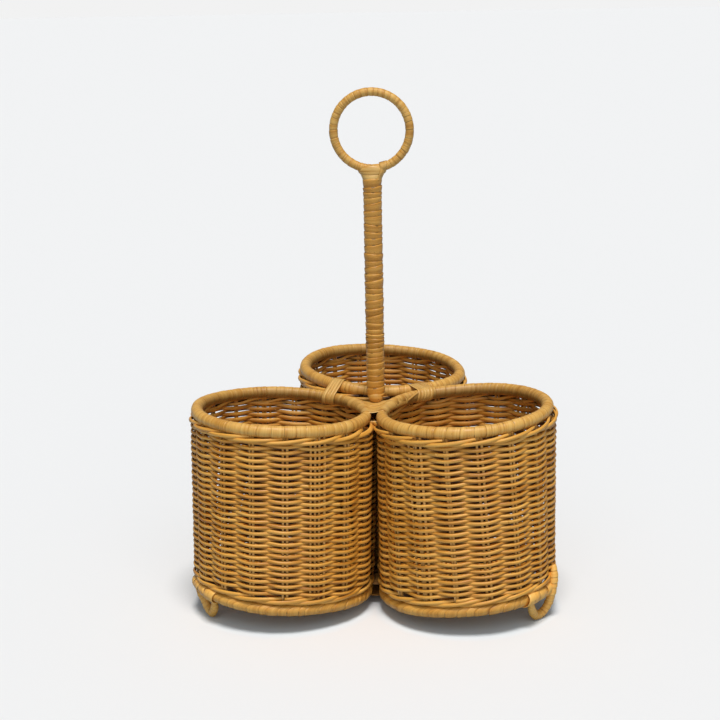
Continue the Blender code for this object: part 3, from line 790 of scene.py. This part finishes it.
def rim(cup):
    rng = np.random.default_rng(cup.seed + 4)

    def half_sizes(places):
        half = rim_tube(cup, places / cup.rim_radius)
        return half, half

    path, length = hoop_path(cup.rim_radius, RIM_HEIGHT, RIM_WOBBLE, cup.seed)
    made = wound_rod(path, length, half_sizes, rng, closed=True, start_angle=-pi / 2,
                     **RIM_WINDING)
    piece(cup.name + "_rim_wrap", [made], PEEL, "cane_wrap", cup.name + "_rim", cup=cup,
          painted_shade_of=painted_shade_on_rim)


def base_hoop(cup):
    rng = np.random.default_rng(cup.seed + 5)
    path, length = hoop_path(HOOP_RADIUS, HOOP_HEIGHT, HOOP_WOBBLE, cup.seed + 2)
    made = wound_rod(path, length, constant_sizes(HOOP_TUBE), rng, closed=True,
                     start_angle=pi / 2, **HOOP_WINDING)
    piece(cup.name + "_hoop_wrap", placed_in(cup, [made]), HOOP_PEEL, "cane_wrap",
          cup.name + "_base_hoop")


def base_weave(cup):
    """Woven disc: a tight coil in the middle, then strands over one spoke and under the next."""
    rng = np.random.default_rng(cup.seed + 6)
    steps = int((BASE_REACH - BASE_HUB) / BASE_PITCH) * STAKES

    def coil(angle, radius, height, half_out):
        rows = sections_round_axis(angle, radius, height, half_out, BASE_HALF_HEIGHT, 6)
        u = np.cumsum(np.append(0, np.diff(angle) * radius[1:])) + rng.uniform(0, 9)
        return round_strand(rows, u, 0.0009)

    s = np.linspace(0, steps, steps * 6 + 1)
    radius = BASE_HUB + BASE_PITCH * s / STAKES
    swing = BASE_SWING * np.clip(radius / HUB_CROWDING, 0.6, 1.0)
    lift = np.interp(s, np.arange(steps + 1), rng.normal(0, 0.00008, steps + 1))
    height = BASE_HEIGHT - 0.0006 + swing * flattened(np.cos(pi * s), 0.28) + lift
    strands = [coil(column_angle(cup, SPOKE_HEIGHT, s), radius, height, 0.00100)]
    turns = int(BASE_HUB / BASE_PITCH)
    angle = np.linspace(0.6, 2 * pi * turns, turns * 28)
    radius = BASE_PITCH * angle / (2 * pi) + 0.0003
    for level in (BASE_HEIGHT + 0.0003, SPOKE_HEIGHT - 0.0010):
        strands.append(coil(angle, radius, level, 0.00098))
    piece(cup.name + "_base_weave", placed_in(cup, strands), REED, "weave", cup.name + "_base_mat")


def foot(cup):
    """Loop foot: a wrapped rod bound to the hoop, its ends tucked under it and up the wall."""
    rng = np.random.default_rng(cup.seed + 7)
    path, length = line_path(np.array(FOOT_LINES[cup.name]) * MM)

    def half_sizes(places):
        share = np.clip((np.minimum(places, length - places) - 0.001) / 0.009, 0, 1)
        return 0.0010 + 0.0014 * share, 0.0014 + 0.0012 * share

    made = wound_rod(path, length, half_sizes, rng, closed=False, start_angle=pi, **FOOT_WINDING)
    made[0][:, 2] = np.maximum(made[0][:, 2], 0.0)
    bands = [hoop_band(tangent * cup.near, half_width, skew, bulge, rng)
             for tangent, half_width, skew, bulge in FOOT_BANDS]
    piece(cup.name + "_foot_wrap", placed_in(cup, [made], dip=False) + placed_in(cup, bands),
          LIGHTENED_FOOT_PEEL, "cane_wrap", cup.name + "_foot")


def hoop_band(tangent, half_width, skew, bulge, rng):
    """One broad turn of cane round the base hoop, near the foot; it may bulge over a leg."""
    turn = 2 * pi * np.arange(30) / 30
    reach = HOOP_TUBE + 0.0004 + bulge * (0.5 + 0.5 * np.cos(turn)) ** 2
    angle = (tangent + skew * np.sin(turn)) / HOOP_RADIUS
    radius = HOOP_RADIUS + reach * np.cos(turn)
    centres = polar(angle, radius, HOOP_HEIGHT + reach * np.sin(turn))
    outward = polar(angle, np.cos(turn), np.sin(turn))
    along = polar(angle + pi / 2, 1.0, 0.0)
    rows = round_sections(centres, outward, along, 0.00040, half_width, 10)
    u = 0.026 * np.arange(31) / 30 + rng.uniform(0, 9)
    return strand(rows, u, np.linspace(0.05, 0.95, 11), closed=True)


# Post, ring and ties

def upright_path(*heights):
    return line_path([(0, 0, height) for height in heights])


def post():
    rng = np.random.default_rng(POST_SEED)
    head = POST_TOP + POST_OVERLAP
    path, length = upright_path(head, (POST_TOP + POST_FOOT) / 2, POST_FOOT)

    def half_sizes(places):
        height = head - places
        under_rest = np.clip((POST_REST - height) / 0.0006, 0, 1)
        over_deep = np.clip((height - POST_DEEP) / 0.002, 0, 1)
        half = POST_RADIUS - POST_THINNING * (under_rest * over_deep)
        return half, half

    made = wound_rod(path, length, half_sizes, rng, closed=False, start_angle=-pi / 2,
                     **POST_WINDING)
    piece("post_winding", at_post([made]), POST_PEEL, "post_cane", "post_wrap", "post_core",
          painted_shade_of=painted_shade_in_gap)


def ring():
    rng = np.random.default_rng(RING_SEED)

    def path(places):
        angle = places / RING_RADIUS - pi / 2
        first = np.stack([np.cos(angle), np.zeros(angle.shape), np.sin(angle)], -1)
        second = np.broadcast_to(Y_AXIS, first.shape)
        return first * RING_RADIUS + RING_HEIGHT * Z_AXIS, first, second

    made = wound_rod(path, 2 * pi * RING_RADIUS, constant_sizes(RING_TUBE), rng, closed=True,
                     start_angle=pi / 2, **RING_WINDING)
    piece("ring_winding", at_post([made]), PEEL, "cane_wrap", "ring_handle")


# The neck's height over POST_TOP, and its half width and half depth there in millimetres
NECK_STATIONS = np.array([
    (0.0103, 0.4, 0.3), (0.0101, 3.6, 2.0), (0.0096, 5.6, 3.1), (0.0084, 7.6, 3.6),
    (0.0070, 8.6, 3.9), (0.0055, 8.3, 4.2), (0.0036, 6.7, 4.8), (0.0018, 5.95, 5.3),
    (0.0002, 5.75, 5.6), (-0.0012, 5.70, 5.7), (-0.0034, 5.2, 5.2)])
NECK_TURNS = np.array([0.44, 0.27, 0.29])
NECK_STRIP_LINE = np.array([
    (0.0066, 0.0122), (0.0070, 0.0098), (0.0068, 0.0072), (0.0058, 0.0044), (0.0046, 0.0014)])


def ring_neck():
    """Cane wound round the two ends of the ring, from the post up to the ring's inner edge."""
    rng = np.random.default_rng(NECK_SEED)
    height = POST_TOP + NECK_STATIONS[:, 0]
    path, length = upright_path(height[0], height.mean(), height[-1])
    drop = height[0] - height

    def half_sizes(places):
        return [np.interp(places, drop, NECK_STATIONS[:, k]) * MM for k in (1, 2)]

    made = wrapped_rod(path, NECK_TURNS * length, half_sizes, rng, closed=False,
                       start_angle=-pi / 2, **NECK_WINDING)
    piece("ring_neck", at_post([made, neck_strip()]), TIE_PEEL, "ties", "ring_binding")


def neck_front(x, height):
    """How far before the post's axis the neck or the ring's rod comes, at a place seen head-on."""
    levels, *halves = NECK_STATIONS[::-1].T
    wide, deep = (np.interp(height - POST_TOP, levels, half) * MM for half in halves)
    neck = deep * np.sqrt(np.clip(1 - (x / wide) ** 2, 0, 1))
    off_centreline = np.hypot(x, height - RING_HEIGHT) - RING_RADIUS
    rod = np.sqrt(np.clip(RING_TUBE ** 2 - off_centreline ** 2, 0, None))
    return np.maximum(neck, rod)


def neck_strip():
    """Last turn of cane, from the inside of the ring's right arm down over the side of the neck."""
    line = smooth_curve(NECK_STRIP_LINE, 6)
    across = np.linspace(-1, 1, 9)
    half_width = np.linspace(0.0025, 0.0014, len(line))
    x = line[:, :1] + half_width[:, None] * across * 0.95
    z = POST_TOP + line[:, 1:] + half_width[:, None] * across * 0.25
    front = neck_front(x, z)
    edge = np.sqrt(1 - across ** 2) * 0.00028
    outer = np.stack([x, -(front + 0.00040 + edge), z], -1)
    inner = np.stack([x, -(front + 0.00030), z], -1)[:, ::-1]
    rows = np.concatenate([outer, inner], 1)
    v = np.concatenate([np.linspace(0, 1, 9), np.linspace(1, 0, 9), [0]])
    return strand(rows, lengths_along(rows[:, 4]), v)


def rim_arc(cup, before, reach, *turns):
    """Points round a front rim's rod, where it crosses planes that lie before the post."""
    turns = np.radians(np.linspace(*turns, 12))
    azimuth = np.arcsin((POST_PLACE.y - before - CENTRES[cup.name].y) / cup.rim_radius)
    angle = (azimuth if cup.name == "left" else pi - azimuth) - cup.direction
    centre = in_cup(cup, polar(angle, cup.rim_radius, RIM_HEIGHT)) - np.array(POST_PLACE)
    size = (rim_tube(cup, angle) + reach)[:, None]
    x = centre[:, :1] + size / np.cos(azimuth)[:, None] * np.cos(turns)
    z = centre[:, 2:] + size * np.sin(turns)
    return np.stack([x, np.broadcast_to(-before[:, None], x.shape), z], -1)


def hub_surface(before, reach):
    """Rows of points over the left rim, down into the hollow between, and over the right rim."""
    left = rim_arc(CUPS[0], before, reach, 205, 62)
    right = rim_arc(CUPS[1], before, reach, 118, -25)
    share = np.linspace(0, 1, 9)[1:-1, None]
    sag = np.interp(before, [0.004, 0.016, 0.030, 0.035], [0.0028, 0.0022, 0.0010, 0.0004])
    middle = left[:, -1:] * (1 - share) + right[:, :1] * share
    middle[..., 2] -= sag[:, None] * np.sin(pi * share[:, 0]) ** 0.7
    return np.concatenate([left, middle, right], 1)


def hub_web():
    """Turns of cane drawn over both front rims, before the foot of the visible post."""
    strands = []
    share = np.linspace(0, 1, 12)
    front_edge = 0.00022 * np.clip((share - 0.86) / 0.14, 0, 1)
    for start, end, lift in WEB_TURNS:
        before = start + (end - start) * share
        top = hub_surface(before, lift + front_edge)
        under = hub_surface(before, lift - WEB_THICKNESS)[:, ::-1]
        rows = np.concatenate([top, under], 1)
        across = lengths_along(np.concatenate([rows[5], rows[5, :1]])) + 7 * start
        strands.append(turned_uv(*strand(rows, 0.04 + 0.92 * share, across)))
    piece("hub_web", at_post(strands + [collar(), hub_tie()]), TIE_PEEL, "ties", "hub_saddle")


def collar():
    """Rounded end of the post's cane, where it dives into the hub."""
    share = np.linspace(-0.97, 0.97, 15)
    width = np.sqrt(1 - share ** 2)
    height = POST_REST - 0.0002 + COLLAR_HALF_HEIGHT * share
    centres = np.stack([0 * share, COLLAR_PLACE + 0 * share, height], -1)
    half = COLLAR_RADIUS * width
    rows = round_sections(centres, X_AXIS[None], Y_AXIS[None], half, half, 20)
    return turned_uv(*round_strand(rows, 0.3 + 0.4 * (share + 1) / 2, 0.0044))


def hub_tie():
    """Thin turn of cane that shows in the gap between the two front cups, under the web."""
    x = np.linspace(-0.0036, 0.0056, 9)
    centres = np.stack([x, -0.0352 + 30 * (x - 0.001) ** 2, HUB_TIE_HEIGHT + 0 * x], -1)
    rows = round_sections(centres, Y_AXIS[None], Z_AXIS[None], 0.0005, 0.0011, 10)
    return strand(rows, x, np.linspace(0.2, 0.8, 11))


def tie_loop(first, second, tube, shift, skew, half_width):
    """One flat cane turn round two rods that cross at the given middles, shift along them."""
    across = (second - first) / np.linalg.norm(second - first)
    run = np.cross(across, Z_AXIS)
    run /= np.linalg.norm(run)
    rise = np.cross(run, across)
    turns = np.linspace(-pi / 2, pi / 2, 14)
    parts, normals = [], []
    for middle, start in ((second, 0.0), (first, pi)):
        direction = across * np.cos(turns + start)[:, None] + rise * np.sin(turns + start)[:, None]
        lean = run * (shift + skew * np.sin(turns + start))[:, None]
        parts.append(middle + direction * (tube + TIE_THICKNESS + TIE_CLEARANCE) + lean)
        normals.append(direction)
    centres, outward = np.concatenate(parts), np.concatenate(normals)
    rows = round_sections(centres, outward, np.broadcast_to(run, outward.shape), TIE_THICKNESS,
                          half_width, 8)
    u = np.append(lengths_along(centres), 0.05) + shift * 30
    return strand(rows, u, np.linspace(0, 1, 9), closed=True)


def lashing(kind, material, one, other, count, pitch, skew, slide=0.0, ends=()):
    """Cane turns round two rims or two hoops where their cups meet, moved along them by slide."""
    at_rim = kind.endswith("_rim")
    places = []
    for cup, towards in ((one, other), (other, one)):
        gap = CENTRES[towards.name] - CENTRES[cup.name]
        angle = np.arctan2(gap.y, gap.x) - cup.direction
        radius, height = (cup.rim_radius, RIM_HEIGHT) if at_rim else (HOOP_RADIUS, HOOP_HEIGHT)
        places.append(in_cup(cup, polar(angle, radius, height)[None])[0])
    tube = RIM_TUBE if at_rim else HOOP_TUBE
    turns = [tie_loop(*places, tube, slide + (k - (count - 1) / 2) * pitch, skew, pitch * TIE_SHARE)
             for k in range(count)]
    piece(kind + "_tie", turns + list(ends), material, "ties", kind + "_lashing",
          painted_shade_of=None if at_rim else painted_shade_in_gap)


def loose_end(cup):
    """End of a cane strip, drawn down the inner side of a rim beside its tie."""
    share = np.linspace(0, 1, 14)
    angle = radians(158.5) + radians(12) * share
    turn = radians(134) + radians(40) * share
    reach = RIM_TUBE + 0.00070
    centres = polar(angle, cup.rim_radius + reach * np.cos(turn), RIM_HEIGHT + reach * np.sin(turn))
    outward = polar(angle, np.cos(turn), np.sin(turn))
    first, second = frames_along(centres, outward)
    rows = round_sections(centres, first, second, 0.00024, 0.00052, 8)
    return placed_in(cup, [strand(rows, 0.2 + 0.016 * share, np.linspace(0.25, 0.75, 9))])


def post_socket():
    """Cane turns that wedge the foot of the post between the base hoops."""
    low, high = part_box("post_socket")
    half_up = 0.0012
    levels = np.linspace(low.z + half_up, high.z - half_up, 3) - SOCKET_DROP
    angle = 2 * pi * np.arange(40) / 40
    u = np.append(angle, 2 * pi) * SOCKET_RADIUS
    strands = []
    for k, level in enumerate(levels):
        rows = sections_round_axis(angle, SOCKET_RADIUS, level, 0.0016, half_up, 8)
        strands.append(strand(rows, u + k, np.linspace(0, 1, 9), closed=True))
    piece("post_socket_cane", at_post(strands), POST_PEEL, "ties", "post_socket",
          painted_shade_of=painted_shade_in_gap)


def basket():
    for cup in CUPS:
        wall_weave(cup)
        stakes(cup)
        twining(cup, "upper", UPPER_TWINE_HEIGHT, 2, stand_out=0.0008)
        twining(cup, "lower", LOWER_TWINE_HEIGHT, 3)
        rim(cup)
        base_hoop(cup)
        base_weave(cup)
        foot(cup)
    post()
    ring()
    ring_neck()
    hub_web()
    left, right, back = CUPS
    lashing("left_rim", TIE_PEEL, left, back, 4, 0.0022, 0.0008)
    lashing("right_rim", TIE_PEEL, right, back, 5, 0.0022, 0.0010, slide=-0.0020,
            ends=loose_end(right))
    lashing("left_hoop", HOOP_PEEL, left, back, 4, 0.0024, 0.0006)
    lashing("right_hoop", HOOP_PEEL, right, back, 4, 0.0024, 0.0006)
    lashing("front_hoop", POST_PEEL, left, right, 8, 0.0024, 0.0006, slide=-0.0066)
    post_socket()


# Studio

def floor():
    """Pale paper, with a painted cool tint under the cups, where the reed's own light warms the
    shade.
    """
    mesh = bpy.data.meshes.new("studio_floor")
    corners = [(x * FLOOR_HALF, y * FLOOR_HALF, 0) for x, y in ((-1, -1), (1, -1), (1, 1), (-1, 1))]
    mesh.from_pydata(corners, [], [(0, 1, 2, 3)])
    material, tree, shader = new_material("floor_paper")
    rays = add_node(tree, "ShaderNodeLightPath")
    place = add_node(tree, "ShaderNodeNewGeometry").outputs["Position"]
    away = 1.0
    for centre in CENTRES.values():
        gap = add_node(tree, "ShaderNodeVectorMath", {0: place, 1: centre}, operation="DISTANCE")
        away = maths(tree, "MINIMUM", away, gap.outputs["Value"])
    # Painted cool tint on the shade under the cups, fading out over its reach
    seen = mix_colour(tree, spread(tree, away, *PAINTED_TINT_REACH), (*PAINTED_COOL_TINT, 1),
                      (FLOOR_COLOUR,) * 3 + (1,))
    shade = mix_colour(tree, rays.outputs["Is Camera Ray"], (*FLOOR_BOUNCE, 1), seen)
    set_inputs(tree, shader, {"Base Color": shade, "Roughness": 1.0, "Specular IOR Level": 0.0})
    mesh.materials.append(material)
    add_object("studio_floor", mesh)


def sky():
    """Even light from all round; to the camera it is the pale grey of the backdrop."""
    world = bpy.data.worlds.new("studio")
    world.use_nodes = True
    tree = world.node_tree
    lit = tree.nodes["Background"]
    set_inputs(tree, lit, {"Color": (*SKY_COLOUR, 1), "Strength": SKY_STRENGTH})
    seen = add_node(tree, "ShaderNodeBackground", {"Color": (1, 1, 1, 1), "Strength": BACKGROUND})
    rays = add_node(tree, "ShaderNodeLightPath")
    mix = add_node(tree, "ShaderNodeMixShader", {0: rays.outputs["Is Camera Ray"],
                                                 1: lit.outputs[0], 2: seen.outputs[0]})
    set_inputs(tree, tree.nodes["World Output"], {"Surface": mix.outputs[0]})
    bpy.context.scene.world = world


def sun(name, strength, tilt, spread_angle):
    light = bpy.data.lights.new(name, "SUN")
    light.energy = strength
    light.color = LAMP_COLOUR
    light.angle = spread_angle
    add_object(name, light).rotation_euler = (*tilt, 0)


def camera():
    place = POST_PLACE + Vector((CAMERA_DISTANCE * sin(CAMERA_AZIMUTH),
                                 -CAMERA_DISTANCE * cos(CAMERA_AZIMUTH), CAMERA_HEIGHT))
    look = CAMERA_AZIMUTH + CAMERA_YAW
    ahead = Vector((-sin(look) * cos(CAMERA_PITCH), cos(look) * cos(CAMERA_PITCH),
                    -sin(CAMERA_PITCH)))
    right = ahead.cross(Vector((0, 0, 1))).normalized()
    up = right.cross(ahead)
    right, up = (right * cos(CAMERA_ROLL) - up * sin(CAMERA_ROLL),
                 up * cos(CAMERA_ROLL) + right * sin(CAMERA_ROLL))
    data = bpy.data.cameras.new("camera")
    data.lens = CAMERA_LENS_MM
    data.sensor_width = SENSOR_MM
    data.sensor_height = SENSOR_MM
    data.clip_end = CAMERA_FAR_END
    made = add_object("camera", data)
    turned = Matrix((right, up, -ahead)).transposed().to_4x4()
    made.matrix_world = Matrix.Translation(place) @ turned
    bpy.context.scene.camera = made


bpy.context.scene.view_settings.view_transform = "Standard"
camera()
floor()
sky()
for lamp in LAMPS:
    sun(lamp, *LAMPS[lamp])
basket()
